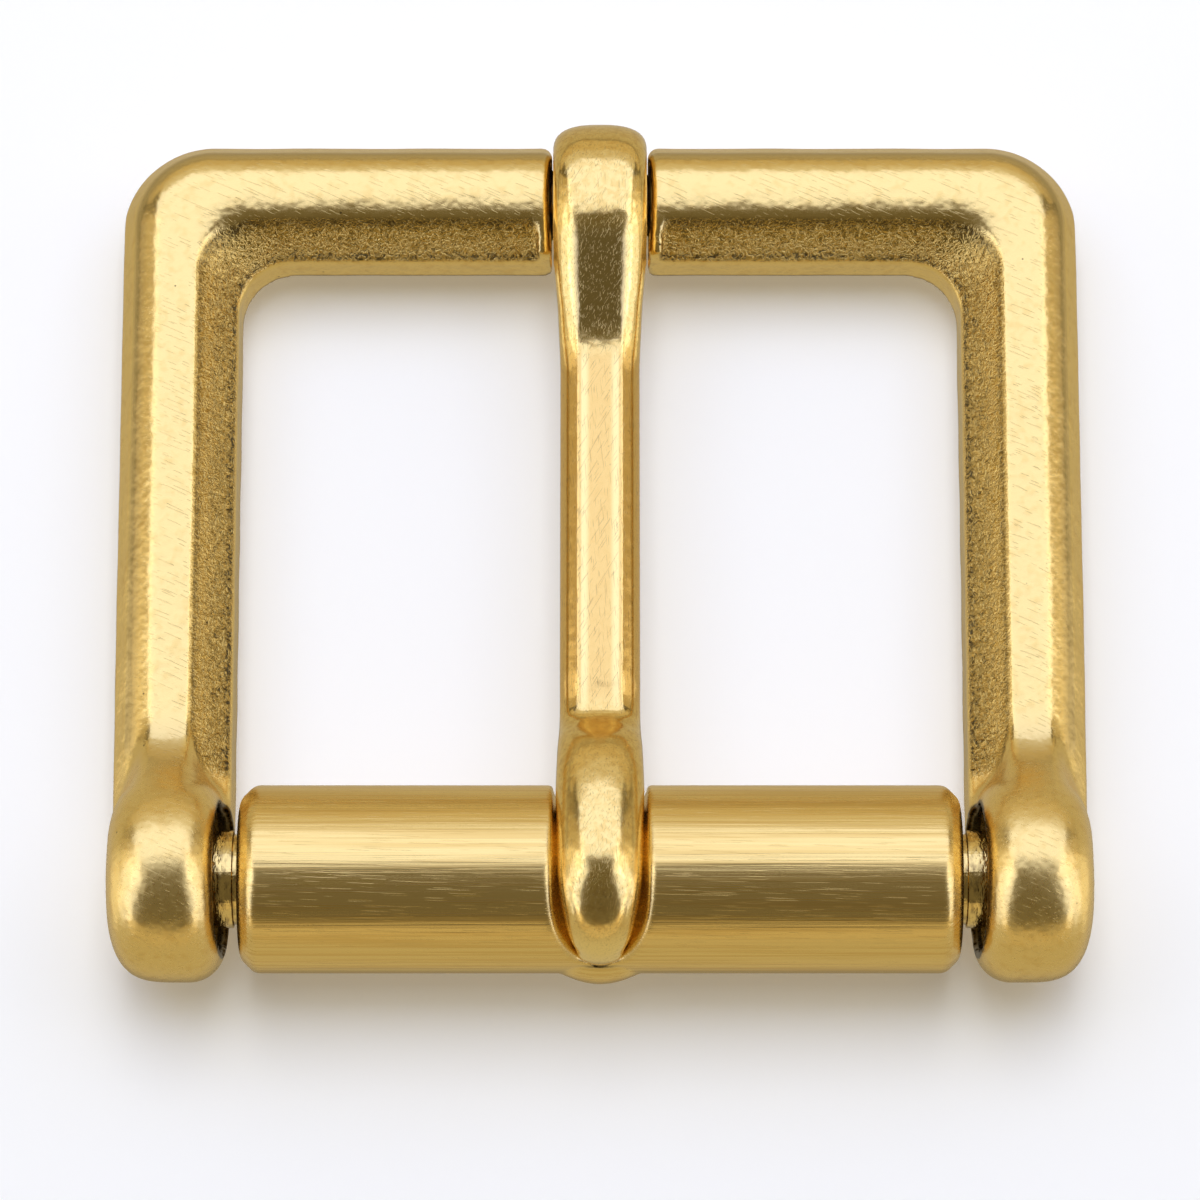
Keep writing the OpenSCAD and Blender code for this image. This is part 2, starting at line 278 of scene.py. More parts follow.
# %% Sliding points onto the skin
def slope_of(field, p, step=0.01):
    """The direction in which the distance grows, at each point."""
    parts = []
    for axis in range(3):
        shift = np.zeros(3)
        shift[axis] = step
        ahead = p + shift
        behind = p - shift
        parts.append((field(*ahead.T) - field(*behind.T)) / (2 * step))
    return np.stack(parts, axis=1)


def onto_skin(field, p, most, rounds):
    """Moves each point along the slope until the field is zero there, by most at a time."""
    for _ in range(rounds):
        slope = slope_of(field, p)
        move = (field(*p.T) / np.maximum((slope ** 2).sum(axis=1), 0.05))[:, None] * slope
        length = np.linalg.norm(move, axis=1, keepdims=True)
        p = p - move * np.minimum(1, most / np.maximum(length, 1e-9))
    return p


# %% Surface nets
def surface_net(field, low, high, cell):
    """Vertices and four-sided faces of the skin of field, inside the box from low to high."""
    lines = [np.arange(a, b + cell, cell) for a, b in zip(low, high)]
    values = field(*np.meshgrid(*lines, indexing="ij", sparse=True))
    inside = values < 0
    cells = tuple(n - 1 for n in values.shape)

    def corner(grid, offset):
        return grid[tuple(slice(o, o + n) for o, n in zip(offset, cells))]

    offsets = [(i, j, k) for i in (0, 1) for j in (0, 1) for k in (0, 1)]
    count = sum(corner(inside, o).astype(np.int8) for o in offsets)
    where = np.argwhere((count > 0) & (count < 8))
    number = np.full(cells, -1)
    number[tuple(where.T)] = np.arange(len(where))

    total = np.zeros((len(where), 3))
    hits = np.zeros(len(where))
    for axis in range(3):
        for start in (o for o in offsets if o[axis] == 0):
            a = where + start
            b = a + np.eye(3, dtype=int)[axis]
            va = values[tuple(a.T)]
            vb = values[tuple(b.T)]
            crossed = (va < 0) != (vb < 0)
            share = np.where(crossed, va / np.where(crossed, va - vb, 1), 0)
            point = np.array(start) + share[:, None] * np.eye(3)[axis]
            total += point * crossed[:, None]
            hits += crossed
    points = np.array([line[0] for line in lines]) + cell * (where + total / hits[:, None])

    faces = []
    for axis in range(3):
        b, c = (axis + 1) % 3, (axis + 2) % 3
        one = np.eye(3, dtype=int)
        near = tuple(slice(0 if k == axis else 1, n) for k, n in enumerate(cells))
        far = tuple(slice(1, n + 1) if k == axis else slice(1, n) for k, n in enumerate(cells))
        first = np.array([0 if k == axis else 1 for k in range(3)])
        leaves = np.argwhere(inside[near] != inside[far]) + first
        ring = [leaves - one[b] - one[c], leaves - one[c], leaves, leaves - one[b]]
        quads = np.stack([number[tuple(q.T)] for q in ring], axis=1)
        inward = ~inside[tuple(leaves.T)]
        quads[inward] = quads[inward][:, ::-1]
        faces.append(quads)
    return points, np.concatenate(faces)


# %% Relaxing the net and making the mesh
def relaxed(field, points, faces, cell, rounds=3):
    """Evens out the net: each vertex moves towards its neighbours' mean, then back onto the skin."""
    a = faces.ravel()
    b = np.roll(faces, -1, axis=1).ravel()
    near = np.bincount(a, minlength=len(points)) + np.bincount(b, minlength=len(points))
    for _ in range(rounds):
        mean = np.zeros_like(points)
        for k in range(3):
            mean[:, k] += np.bincount(a, weights=points[b, k], minlength=len(points))
            mean[:, k] += np.bincount(b, weights=points[a, k], minlength=len(points))
        mean /= near[:, None]
        points = onto_skin(field, points + 0.5 * (mean - points), cell, 1)
    return onto_skin(field, points, cell, 3)


def add_object(name, data):
    """Puts a mesh, a light or a camera into the scene as an object."""
    thing = bpy.data.objects.new(name, data)
    bpy.context.scene.collection.objects.link(thing)
    return thing


def mesh_piece(name, points, faces):
    """A smooth-shaded object from points in millimetres."""
    mesh = bpy.data.meshes.new(name)
    mesh.from_pydata((points / 1000).tolist(), [], faces)
    mesh.polygons.foreach_set("use_smooth", np.ones(len(mesh.polygons), bool))
    mesh.update()
    return add_object(name, mesh)


# %% [markdown]
# ## Hollows and edges
# Old brass is bright on its edges and dark in its hollows. The distance function knows both. Step out from
# the skin along its slope: if the distance grows less than the step, other metal is near and the place lies
# in one of the hollows. And where the function curves strongly there is an edge. We store both on the
# vertices: the hollows darken the brass, partly as the patina that old brass keeps there and partly as
# painted shade where they would lie in shadow, and the edge mark calms the streaks at the roller's edges.

# %% Marks for patina and painted shade, and the finished piece
def point_mark(piece, name, values):
    """Stores one number for each vertex, which the shader can read by name."""
    marks = piece.data.attributes.new(name, "FLOAT", "POINT").data
    marks.foreach_set("value", np.asarray(values, np.float32))


def places_mm(piece):
    """The x, y and z of all vertices, in millimetres."""
    points = np.empty(3 * len(piece.data.vertices))
    piece.data.vertices.foreach_get("co", points)
    return points.reshape(-1, 3).T * 1000


def deepen_shade_and_patina(piece, shade):
    """Raises the mark of patina and painted shade to shade wherever shade is higher."""
    marks = piece.data.attributes["shade_and_patina"].data
    shade_and_patina = np.empty(len(marks), np.float32)
    marks.foreach_get("value", shade_and_patina)
    marks.foreach_set("value", np.maximum(shade_and_patina, shade).astype(np.float32))


def patina_shade_and_edge_marks(piece, field, points):
    """Stores how deep in hollows and how sharp the skin is at each vertex. The first mark darkens the brass
    as patina and as painted shade.
    """
    slope = slope_of(field, points)
    slope /= np.maximum(np.linalg.norm(slope, axis=1, keepdims=True), 1e-6)
    # How enclosed each place is. It darkens the colour, partly as patina and partly as painted shade.
    shade_and_patina = np.zeros(len(points))
    for step in (0.4, 0.9, 1.8):
        shade_and_patina += np.clip(1 - field(*(points + step * slope).T) / step, 0, 1) / 3
    reach = 0.12
    bend = -6 * field(*points.T)
    for axis in range(3):
        for sign in (-1, 1):
            shift = np.zeros(3)
            shift[axis] = sign * reach
            bend += field(*(points + shift).T)
    point_mark(piece, "shade_and_patina", shade_and_patina)
    point_mark(piece, "edge", np.clip(bend / reach ** 2 / 3 - 0.3, 0, 1))
    print(f"  hollow up to {shade_and_patina.max():.2f}, sharpest edge {bend.max() / reach ** 2:.1f} per mm")


def implicit_piece(name, field, low, high, cell):
    """Nets a field, relaxes the net, and makes a marked piece of it."""
    points, faces = surface_net(field, low, high, cell)
    points = relaxed(field, points, faces, cell)
    print(f"{name}: {len(points)} points, {2 * len(faces)} triangles")
    piece = mesh_piece(name, points, faces.tolist())
    patina_shade_and_edge_marks(piece, field, points)
    return piece


# %% Make the frame
margin = 0.5
frame_low_edge = [-half_w - margin, frame_low[1] - margin, frame_low[2] - margin]
frame_high_edge = [half_w + margin, frame_high[1] + margin, frame_high[2] + margin]
frame_cell = 0.24
cast_frame = implicit_piece("cast_frame", frame_field, frame_low_edge, frame_high_edge, frame_cell)


# %% Mark the rough border and the lugs, and paint shade into the recess
def mark_rough_border(piece):
    """Marks the sloping border, which was left as it came out of the mould, and its two edges, where a dark
    line of shade is painted.
    """
    x, y, z = places_mm(piece)
    x = np.abs(x)
    depth = -bar_skin(x, y, z)
    wall = window_gap(x, y, z)
    on_slope = 1 - smooth_step(np.abs(border_gap(x, y, z)), 0.1, 0.3)
    before_lug = smooth_step(y, roller_y + 5.6, roller_y + 6.6)
    border = on_slope * smooth_step(depth, 0.02, 0.14) * smooth_step(wall, 0.02, 0.16) * before_lug
    # Painted shade: a dark line along both edges of the border.
    brink_shade = np.maximum(1 - smooth_step(depth, 0.15, 0.45), 1 - smooth_step(wall, 0.25, 0.5))
    print(f"rough as cast: {100 * border.mean():.0f}% of the points")
    point_mark(piece, "border", border)
    point_mark(piece, "rough_cast", border * (0.25 + 0.75 * smooth_step(depth, 0.1, 1.1)))
    point_mark(piece, "brink_shade", border * brink_shade)


def mark_lugs(piece):
    """Marks the lugs, and paints shade into the recess round the pin and a dark line along the top of the
    outer strip.
    """
    x, y, z = places_mm(piece)
    x = np.abs(x)
    point_mark(piece, "lug", smooth_step(roller_y + 7.5 - y, 0, 2))
    r = np.hypot(y - roller_y, z - roller_z)
    # Painted shade: the recess round the pin goes dark, out to a little past its rim.
    wider = 0.4 * (1 - smooth_step(x, lug_face_x + 0.2, lug_face_x + 0.45))
    recess = (x < recess_x + 0.1) * smooth_step(recess_r + 0.08 + wider - r, 0, 0.3)
    # Painted shade: a thin dark line along the top of the outer strip, behind the lugs.
    inset = -corner_distance(x, y, half_w, outline_y, outer_corner_r)
    line = smooth_step(inset, strip_w - 0.22, strip_w)
    line = line * (1 - smooth_step(inset, strip_w + 0.1, strip_w + 0.9))
    line *= 0.35 * (z > back_z + 2.4) * smooth_step(y, roller_y + 6, roller_y + 8)
    deepen_shade_and_patina(piece, np.maximum(recess, line))


mark_rough_border(cast_frame)
mark_lugs(cast_frame)

# %% [markdown]
# ## The roller
# The roller is a turned tube with chamfered ends. The tongue's tip lies in a groove that closes just under
# the tip, where the metal swells into a small rounded lip. In polar terms round the axis all of it is
# simple: the outside radius depends on the angle and on x, and so does the width of the groove.

# %% The roller as a distance function
chamfer = 0.82
groove_floor_r = 3.8
groove_half_w = 2.64
groove_corner_r = 1.2
groove_narrows = math.radians(110)
groove_closes = math.radians(168.9)
groove_draft = 0.18
groove_power = 0.62
groove_back = math.radians(-110)
lip_angle = math.radians(195)
lip_h = 0.6
lip_half_w = 2.25
lip_spread = math.radians(28)
lip_power = 1.15
bore_r = pin_r + 0.08
end_fillet = 0.25
bore_edge_r = 0.15
closed_share = 0.02
back_from = math.pi + 0.3


def roller_field(x, y, z):
    """The tube with its chamfered ends, bore, lip and groove. Angles grow from the back over the top."""
    x = np.abs(x)
    dy = y - roller_y
    dz = z - roller_z
    r = np.hypot(dy, dz)
    angle = np.arctan2(dz, dy)
    around = np.where(angle < -math.pi / 2, angle + 2 * math.pi, angle)
    near_lip = (x / lip_half_w) ** 2 + ((around - lip_angle) / lip_spread) ** 2
    outside = r - roller_r - lip_h * np.maximum(1 - near_lip, 0) ** lip_power
    end = x - roller_half
    bevel = (r - roller_r + x - roller_half + chamfer) / math.sqrt(2)
    tube = soft_max(soft_max(outside, bevel, end_fillet), end, end_fillet)
    tube = round_max(tube, bore_r - r, bore_edge_r)
    share = np.clip((around - groove_narrows) / (groove_closes - groove_narrows), 0, 1)
    left = np.maximum(1 - share ** 2, closed_share)
    half = groove_half_w * left ** groove_power + groove_draft * (r - roller_r)
    slope = 2 * groove_half_w * groove_power * share * left ** (groove_power - 1)
    side = (x - half) / np.hypot(1, slope / ((groove_closes - groove_narrows) * roller_r))
    past = (around - groove_closes) * roller_r
    side = np.where(past > 0, np.hypot(x, past), side)
    # Behind the lip the half width keeps its closed value, so only a thin slit is left of the groove there
    behind = (2 * math.pi + groove_back - around) * roller_r
    round_end = np.where(behind > 0, np.hypot(x, behind), x) - half
    side = np.where(around > back_from, round_end, side)
    groove = round_max(side, groove_floor_r - r, groove_corner_r)
    lower = smooth_step(roller_y + 3.5 - y, 0, 3) * (1 - 0.85 * smooth_step(share, 0.88, 1))
    closing = smooth_step(share, 0.85, 1) * (around < back_from)
    return soft_max(tube, -groove, (0.24 + 0.3 * lower) * (1 - 0.7 * closing))


# %% Make the roller
roller_cell = 0.175
roller_low_edge = [-roller_half - margin, roller_y - roller_r - 1.2, roller_z - roller_r - 1.2]
roller_high_edge = [roller_half + margin, roller_y + roller_r + margin, roller_z + roller_r + margin]
turned_roller = implicit_piece("turned_roller", roller_field, roller_low_edge, roller_high_edge, roller_cell)


# %% Paint shade into the gap under the tip
gap_half_w = 1.7
gap_t = 0.16
gap_shade = 0.42


def past_groove(y, z):
    """How far a place in front lies below the groove's closed end, as an angle about the roller's axis."""
    return math.pi - np.arctan2(z - roller_z, roller_y - y) - groove_closes


def painted_tip_gap_shade(x, y, z):
    """Painted shade in the thin gap round the tip's end: a dark line over the bright edge where the groove
    closes.
    """
    near = np.hypot(x / gap_half_w, past_groove(y, z) * roller_r / gap_t)
    return gap_shade * (1 - smooth_step(near, 0.5, 1.0))


deepen_shade_and_patina(turned_roller, painted_tip_gap_shade(*places_mm(turned_roller)))

# %% [markdown]
# ## The tongue
# A buckle's tongue is a bar bent round the neck and drawn out over the roller, so it is made the way a
# blacksmith thinks of it: one section after another along its length. Each row of the tables below gives
# the face and the underside as seen from the side, the half width, how deep the section's crown is, whether
# the section is an oval or the shaft's faceted one, and how square its underside is. A smooth curve runs
# through the rows, and the rings are skinned with four-sided faces. A loft keeps long clean highlights.

# %% The tongue's rows, round the neck and round the roller
loop_r = neck_z
loop_bore_r = 2.25
loop_half_w = 2.67
shaft_half_w = 2.29
shaft_rise = 1.9
shaft_t = 2.9
shaft_fall = 0.22


def neck_row(face, under, half_w, crown, facet):
    """Face and underside as (y, z) from the neck's axis."""
    return [neck_y + face[0], neck_z + face[1], neck_y + under[0], neck_z + under[1],
            half_w, crown, facet, 1]


def ring_row(degrees, half_w):
    """A row of the loop. 0 looks to the back and 90 up."""
    c, s = math.cos(math.radians(degrees)), math.sin(math.radians(degrees))
    return neck_row((loop_r * c, loop_r * s), (loop_bore_r * c, loop_bore_r * s), half_w, 1.5, 0)


def polar_row(face_a, face_r, under_a, under_r, half_w, crown, facet, square):
    """Face and underside as an angle and a radius about the roller's axis."""
    fa, ua = math.radians(face_a), math.radians(under_a)
    return [roller_y + face_r * math.cos(fa), roller_z + face_r * math.sin(fa),
            roller_y + under_r * math.cos(ua), roller_z + under_r * math.sin(ua),
            half_w, crown, facet, square]


def shaft_row(y, half_w=shaft_half_w, facet=1.0):
    """The shaft falls a little towards the loop."""
    z = roller_z + shaft_rise - shaft_fall * smooth_step(y, roller_y + 9, neck_y - 11.4)
    return [y, z, y, z - shaft_t, half_w, 1.3, facet, 1]


loop_rows = [ring_row(a, loop_half_w) for a in range(-158, 91, 15)]
descent_rows = [
    # face, underside, half width, crown, facet
    neck_row((-0.88, 4.57), (-0.80, 2.10), 2.67, 1.50, 0.00),
    neck_row((-2.00, 4.45), (-1.52, 1.67), 2.67, 1.50, 0.00),
    neck_row((-2.90, 4.28), (-1.98, 1.14), 2.67, 1.50, 0.00),
    neck_row((-4.20, 3.98), (-2.70, 0.30), 2.63, 1.50, 0.00),
    neck_row((-5.50, 3.66), (-4.60, 0.11), 2.55, 1.45, 0.05),
    neck_row((-6.80, 3.35), (-6.50, 0.06), 2.42, 1.40, 0.20),
    neck_row((-8.20, 3.05), (-8.20, 0.00), 2.35, 1.35, 0.40),
    neck_row((-9.30, 2.87), (-9.30, -0.06), 2.31, 1.30, 0.70),
    neck_row((-10.30, 2.80), (-10.30, -0.10), 2.29, 1.30, 0.95),
]
shaft_rows = [shaft_row(y) for y in np.arange(neck_y - 11.4, roller_y + 10.4, -1.4)]
hump_rows = [
    # face angle and radius, underside angle and radius, half width, crown, facet, squareness
    polar_row(12.6, 9.23, -5.5, 8.60, 2.29, 1.32, 0.80, 1),
    polar_row(16.6, 8.80, -4.0, 7.50, 2.31, 1.42, 0.45, 1),
    polar_row(22.5, 8.50, -1.5, 6.25, 2.35, 1.60, 0.15, 1),
    polar_row(29.4, 8.18, 14.0, 4.97, 2.39, 1.80, 0, 1),
    polar_row(38.1, 7.76, 30.0, 4.22, 2.43, 2.00, 0, 1),
    polar_row(48.2, 7.28, 45.0, 3.96, 2.44, 2.15, 0, 1),
    polar_row(59.3, 6.85, 60.0, 3.95, 2.43, 2.20, 0, 1),
    polar_row(73.1, 6.55, 76.0, 3.95, 2.42, 2.20, 0, 1),
    polar_row(88.2, 6.45, 90.0, 3.95, 2.41, 2.15, 0, 1),
    polar_row(102.2, 6.39, 103.0, 3.95, 2.36, 2.05, 0, 0.9),
    polar_row(114.5, 6.32, 115.0, 3.95, 2.26, 2.08, 0, 0.8),
    polar_row(126.8, 6.22, 126.0, 3.95, 2.09, 2.03, 0, 0.6),
    polar_row(136.1, 6.10, 136.0, 3.95, 1.92, 1.88, 0, 0.5),
    polar_row(144.9, 5.93, 144.5, 3.97, 1.68, 1.55, 0, 0.3),
    polar_row(151.0, 5.76, 150.0, 4.02, 1.46, 1.20, 0, 0.1),
    polar_row(156.5, 5.60, 156.0, 4.10, 1.22, 0.62, 0, 0),
    polar_row(160.8, 5.46, 161.0, 4.25, 0.98, 0.46, 0, 0),
    polar_row(164.5, 5.34, 165.0, 4.50, 0.68, 0.28, 0, 0),
    polar_row(167.0, 5.24, 167.2, 4.80, 0.36, 0.16, 0, 0),
    polar_row(168.0, 5.16, 168.0, 5.10, 0.03, 0.02, 0, 0),
]
tongue_rows = np.array(loop_rows + descent_rows + shaft_rows + hump_rows)


# %% A smooth curve through the rows, and one section
def smooth_rows(rows, steps):
    """More rows on a smooth curve through the given ones, as many as steps between each two."""
    gap = np.linalg.norm(np.diff(rows[:, :4], axis=0), axis=1)[:, None]
    rate = np.diff(rows, axis=0) / gap
    lean = (rate[:-1] * gap[1:] + rate[1:] * gap[:-1]) / (gap[1:] + gap[:-1])
    lean = np.vstack([rate[:1], lean, rate[-1:]])
    t = np.linspace(0, 1, steps, endpoint=False)[:, None]
    out = []
    for a, b, start, end, d in zip(rows[:-1], rows[1:], lean[:-1], lean[1:], gap):
        out.append((2 * t ** 3 - 3 * t ** 2 + 1) * a + (t ** 3 - 2 * t ** 2 + t) * d * start
                   + (3 * t ** 2 - 2 * t ** 3) * b + (t ** 3 - t ** 2) * d * end)
    return np.vstack(out + [rows[-1:]])


# Each flat of the shaft's section: which way it looks, in degrees above the side, and how far out it is
shaft_flats = [(90, 1.30), (57, 1.75), (27, 2.05), (-8, 2.27), (-41, 2.24), (-90, 1.60)]
flat_power = 22
section_steps = 72


def section_points(half_w, crown, thick, facet, square):
    """One ring of the tongue as (across, up) about a point as deep as the crown."""
    turn = np.linspace(0, 2 * math.pi, section_steps, endpoint=False)
    c, s = np.abs(np.sin(turn)), np.cos(turn)
    height = np.where(s > 0, crown, max(thick - crown, 0.05))
    shoulder = 2.15 + 0.85 * max(2.1 - crown, 0) * square
    power = np.where(s > 0, shoulder, 2.1 + 1.9 * square)
    oval = ((c / half_w) ** power + (np.abs(s) / height) ** power) ** (-1 / power)
    total = np.zeros(section_steps)
    for lean, out in shaft_flats:
        lean = math.radians(lean)
        total += (np.maximum(c * math.cos(lean) + s * math.sin(lean), 0) / out) ** flat_power
    faceted = total ** (-1 / flat_power) * half_w / shaft_half_w
    reach = (1 - facet) * oval + facet * faceted
    return reach * np.sin(turn), reach * np.cos(turn)


# %% Skin the tongue
def lofted_piece(name, rows):
    """Skins one ring after another, and closes both ends."""
    points, faces = [], []
    n = section_steps
    for face_y, face_z, under_y, under_z, half_w, crown, facet, square in rows:
        thick = math.hypot(face_y - under_y, face_z - under_z)
        up = np.array([face_y - under_y, face_z - under_z]) / max(thick, 1e-6)
        across, high = section_points(max(half_w, 0.02), min(crown, 0.9 * thick), thick,
                                      min(max(facet, 0), 1), max(square, 0))
        middle = np.array([face_y, face_z]) - up * min(crown, 0.9 * thick)
        points.append(np.column_stack([across, middle[0] + up[0] * high, middle[1] + up[1] * high]))
    for i in range(len(rows) - 1):
        for j in range(n):
            k = (j + 1) % n
            faces.append([i * n + j, i * n + k, (i + 1) * n + k, (i + 1) * n + j])
    caps = [list(range(n))[::-1], [(len(rows) - 1) * n + j for j in range(n)]]
    print(f"{name}: {len(rows)} rings of {n}")
    return mesh_piece(name, np.vstack(points), faces + caps)


bent_tongue = lofted_piece("bent_tongue", smooth_rows(tongue_rows, 7))


# %% Mark the tongue's stretches
def mark_tongue(piece):
    """Paints shade onto what lies down in the groove and at the tip's end, and onto the middle of the loop's
    slope, and marks the shaft, hump and tip.
    """
    x, y, z = places_mm(piece)
    down = roller_r + 0.2 - np.hypot(y - roller_y, z - roller_z)
    end = past_groove(y, z)
    # Painted shade: the tongue goes darker where it lies down in the groove, and at its end.
    painted_groove_shade = 0.25 * smooth_step(down, 0, 1.0) + 0.2 * smooth_step(end, -0.05, -0.02) * (z > roller_z)
    # Painted shade that deepens the dark reflection on the middle of the loop's slope.
    slope = smooth_step(neck_y - 1.8 - y, 0, 1.8) * smooth_step(y, neck_y - 9.6, neck_y - 7.6)
    slope *= 0.3 * (1 - smooth_step(np.abs(x), 1.1, 1.9)) * (z > neck_z + 2)
    point_mark(piece, "shade_and_patina", np.maximum(painted_groove_shade, slope))
    from_hump = smooth_step(y, roller_y + 8.5, roller_y + 10.5)
    point_mark(piece, "shaft", from_hump * smooth_step(neck_y - 8.8 - y, 0, 1.6))
    point_mark(piece, "hump", smooth_step(roller_y + 9 - y, 0, 3))
    angle = np.arctan2(z - roller_z, y - roller_y)
    point_mark(piece, "tip", smooth_step(angle, math.radians(126), math.radians(142)))


mark_tongue(bent_tongue)

# %% [markdown]
# ## The pin
# The pin is the plainest turned piece. A lathe cuts a profile round an axis, and so does the spin
# operation: we draw half of the profile once and spin it in steps.

# %% Turn the pin
groove_w = 0.36
groove_d = 0.2
groove_side = 0.06
pin_chamfer = 0.25


def turned_piece(name, profile, steps=96):
    """Spins a profile of (x, radius) in millimetres round the roller's axis."""
    bm = bmesh.new()
    ring = [bm.verts.new((x / 1000, roller_y / 1000, (roller_z + r) / 1000)) for x, r in profile]
    edges = [bm.edges.new(pair) for pair in zip(ring[:-1], ring[1:])]
    bmesh.ops.spin(bm, geom=ring + edges, cent=(0, roller_y / 1000, roller_z / 1000), axis=(1, 0, 0),
                   dvec=(0, 0, 0), angle=2 * math.pi, steps=steps, use_duplicate=False)
    bmesh.ops.remove_doubles(bm, verts=bm.verts, dist=1e-6)
    bmesh.ops.recalc_face_normals(bm, faces=bm.faces)
    mesh = bpy.data.meshes.new(name)
    bm.to_mesh(mesh)
    bm.free()
    print(f"{name}: {len(mesh.polygons)} faces")
    return add_object(name, mesh)


def pin_profile():
    """Half of the pin's profile from the left end to the right, with a groove at each end of the roller."""
    half = pin_high[0]
    low = pin_r - groove_d
    side = [(roller_half - groove_w, pin_r), (roller_half - groove_w + groove_side, low),
            (roller_half + groove_w - groove_side, low), (roller_half + groove_w, pin_r),
            (half - pin_chamfer, pin_r), (half, pin_r - pin_chamfer), (half, 0)]
    return [(-x, r) for x, r in reversed(side)] + side


lug_pin = turned_piece("lug_pin", pin_profile())

# %% [markdown]
# ## Hanging the pieces on the bodies
# The imported solids are hidden, and still serve for contacts and motion. Each of our pieces replaces one of
# them and rides on the same body; its row also lists the finish that it gets further down. The pin is fixed
# in the lugs, so it rides on the frame.

# %% Hang each piece on its body
for piece, body, node, finish in [
        (cast_frame, "frame", "frame", "cast_brass"),
        (lug_pin, "frame", "roller_pin", "pin_brass"),
        (turned_roller, "roller", "roller", "turned_brass"),
        (bent_tongue, "tongue", "tongue", "polished_brass")]:
    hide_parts(node)
    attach(piece, body)


# %% [markdown]
# ## Finishes
# Brass takes its look from how it was worked: rough where the mould left it, satin from the tumbler,
# streaked by the lathe, and mirror bright where thumbs rub it. Each finish is one material. A small class
# lets us write shader arithmetic as plain sums: each wire is a value on its way through the material.

# %% Wires and materials
class Wire:
    """A value on its way through a material. Sums with it make Math nodes."""

    def __init__(self, nodes, socket):
        self.nodes = nodes
        self.socket = socket

    def math(self, operation, *others):
        return self.nodes.node("ShaderNodeMath", {"operation": operation}, [self, *others])[0]

    def __add__(self, other):
        return self.math("ADD", other)

    def __sub__(self, other):
        return self.math("SUBTRACT", other)

    def __mul__(self, other):
        return self.math("MULTIPLY", other)

    def __neg__(self):
        return self * -1

    def __rsub__(self, other):
        return -self + other

    __radd__ = __add__
    __rmul__ = __mul__

    def ramp(self, low, high, start=0.0, end=1.0):
        """Goes smoothly from start to end as the wire goes from low to high."""
        return self.nodes.node("ShaderNodeMapRange", {"interpolation_type": "SMOOTHSTEP"},
                               {"Value": self, "From Min": low, "From Max": high,
                                "To Min": start, "To Max": end})[0]


class Nodes:
    """A node tree in the making, of a material or of the world."""

    def __init__(self, tree):
        self.tree = tree

    def node(self, kind, settings=None, sockets=None):
        """Any node: its type, its settings, then its sockets by name or in order."""
        node = self.tree.nodes.new(kind)
        for key, value in (settings or {}).items():
            setattr(node, key, value)
        for key, value in (sockets.items() if isinstance(sockets, dict) else enumerate(sockets or [])):
            self.feed(node.inputs[key], value)
        return [Wire(self, out) for out in node.outputs if out.enabled]

    def feed(self, target, value):
        if isinstance(value, Wire):
            self.tree.links.new(value.socket, target)
        else:
            target.default_value = value

    def blend(self, share, a, b):
        """A mix of two colours."""
        return self.node("ShaderNodeMix", {"data_type": "RGBA"}, {0: share, 6: a, 7: b})[0]


class Finish(Nodes):
    """A material in the making."""

    def __init__(self, name):
        self.material = bpy.data.materials.new(name)
        self.material.use_nodes = True
        super().__init__(self.material.node_tree)
        self.shader = self.tree.nodes["Principled BSDF"]
        place = self.node("ShaderNodeTexCoord")[3]
        self.mm = self.vector("SCALE", {"Vector": place, "Scale": 1000})

    def vector(self, operation, sockets):
        return self.node("ShaderNodeVectorMath", {"operation": operation}, sockets)[0]

    def stretched(self, across, along, up):
        """The place in millimetres, scaled on each axis."""
        return self.vector("MULTIPLY", [self.mm, (across, along, up)])

    def noise(self, place, scale, detail=2.0, rough=0.5, warp=0.0):
        return self.node("ShaderNodeTexNoise", {"noise_dimensions": "3D"},
                         {"Vector": place, "Scale": scale, "Detail": detail, "Roughness": rough,
                          "Distortion": warp})[0]

    def mark(self, name):
        return self.node("ShaderNodeAttribute", {"attribute_name": name})[2]

    def set(self, **sockets):
        for name, value in sockets.items():
            self.feed(self.shader.inputs[name.replace("_", " ")], value)

    def relief(self, height):
        """Turns a height in millimetres into the shader's normal."""
        self.set(Normal=self.node("ShaderNodeBump", {}, {"Strength": 1.0, "Distance": 0.001,
                                                         "Height": height})[0])


# %% Scratches and pits
def scratches(finish, degrees, length, width, few):
    """Thin marks that run one way. A stretched noise is cut off near its top, so that few are left."""
    turned = finish.node("ShaderNodeVectorRotate", {"rotation_type": "Z_AXIS"},
                         {"Vector": finish.mm, "Angle": math.radians(degrees)})[0]
    lines = finish.vector("MULTIPLY", [turned, (1 / length, 1 / width, 1 / width)])
    return finish.noise(lines, 1.0, 0.0).ramp(few, few + 0.06)


def pits(finish, spacing, size):
    """Small round pits, one in each cell of a Voronoi pattern where the cell's own number is high."""
    distance, own = finish.node("ShaderNodeTexVoronoi", {"feature": "F1"},
                                {"Vector": finish.mm, "Scale": 1 / spacing})[:2]
    chosen = finish.node("ShaderNodeSeparateColor", {}, [own])[0].ramp(0.6, 0.65)
    return distance.ramp(size / spacing, 0.4 * size / spacing) * chosen


# %% The colours of the brass
gold = (0.90, 0.65, 0.215, 1)
deep_gold = (0.81, 0.55, 0.16, 1)
# The next two colours are the patina of old brass, and they also paint shade into hollows, gaps and creases.
dulled_and_shaded_gold = (0.72, 0.53, 0.20, 1)
patina_and_shade_brown = (0.12, 0.085, 0.03, 1)
cast_skin = (0.60, 0.40, 0.10, 1)
tarnish = (0.36, 0.25, 0.09, 1)
# A dimmer gold that paints shade on the shaft's face.
dimmed_shaft_gold = (0.78, 0.50, 0.145, 1)
# A brighter gold for painted highlights on the shaft and the tip.
painted_highlight_gold = (1.0, 0.76, 0.28, 1)


